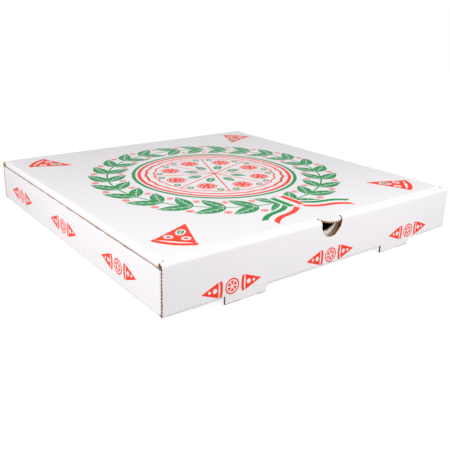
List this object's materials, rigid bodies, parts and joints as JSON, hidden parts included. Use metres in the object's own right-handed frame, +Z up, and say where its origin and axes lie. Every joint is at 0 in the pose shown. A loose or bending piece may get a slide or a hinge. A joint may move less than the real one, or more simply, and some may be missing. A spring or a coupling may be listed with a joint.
{
  "type": "pizza box",
  "caption": "Shallow square pizza box folded from a single die-cut board sheet, with a rolled-over front wall, thumb notch and tongue, and a lid that hinges at the back.",
  "frame": {"origin": "centre of the underside, on the lower face of the bottom panel", "axes": "+Z up, -Y towards the front wall with the thumb notch, +X to the right along that wall"},
  "size_m": [0.32, 0.3254, 0.0455],
  "materials": {
    "board": "matt white-lined corrugated board, kraft brown inside and on its cut edges"
  },
  "bodies": {
    "tray": {"tray": "board"},
    "lid": {"lid": "board"}
  },
  "joints": [
    {"name": "lid_hinge", "type": "hinge", "parent": "tray", "child": "lid", "pos_m": [0, 0.1592, 0.0392], "axis": [-1, 0, 0], "range_deg": [0, 180]}
  ]
}
